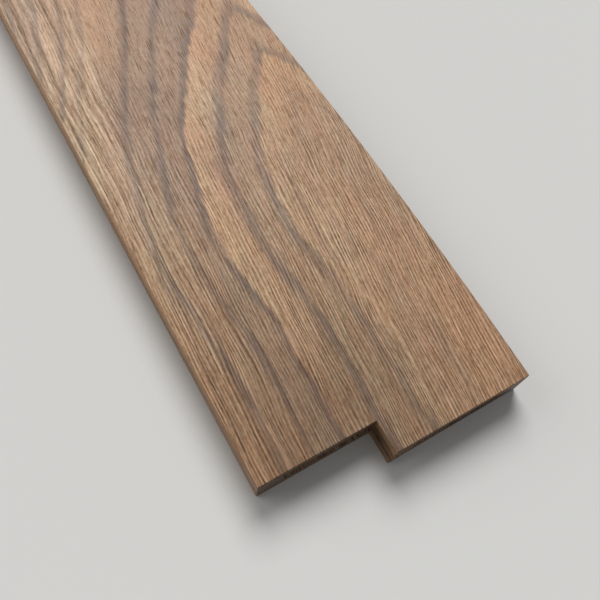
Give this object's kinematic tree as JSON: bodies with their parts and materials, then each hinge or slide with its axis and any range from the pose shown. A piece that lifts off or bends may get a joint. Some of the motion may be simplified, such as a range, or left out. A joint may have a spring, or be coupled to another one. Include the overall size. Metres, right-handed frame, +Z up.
{
  "type": "knife blade guard",
  "caption": "Flat wooden sheath for a chef's knife blade, a slot between two glued panels, with a stepped mouth and hidden magnets.",
  "frame": {"origin": "centre of the box around the sheath, on the surface that it lies on", "axes": "+X along the blade and out of the mouth towards the knife's handle, +Y across the blade from the spine side to the cutting edge side, +Z up"},
  "size_m": [0.26, 0.063, 0.0092],
  "materials": {
    "walnut_panel": "plain-sawn walnut, lightly oiled, matte, with open pores and arched figure",
    "walnut_strip": "straight-grained walnut strip, lightly oiled, matte",
    "walnut_plug": "thin walnut plug, sanded flush, matte",
    "magnet": "nickel plating, bright"
  },
  "bodies": {
    "root": {"lower_panel": "walnut_panel", "spine_rail": "walnut_strip", "edge_rail": "walnut_strip", "tip_block": "walnut_strip", "upper_panel": "walnut_panel", "magnet_1": "magnet", "magnet_2": "magnet", "magnet_3": "magnet", "magnet_4": "magnet", "magnet_plug_1": "walnut_plug", "magnet_plug_2": "walnut_plug", "magnet_plug_3": "walnut_plug", "magnet_plug_4": "walnut_plug"}
  },
  "joints": []
}
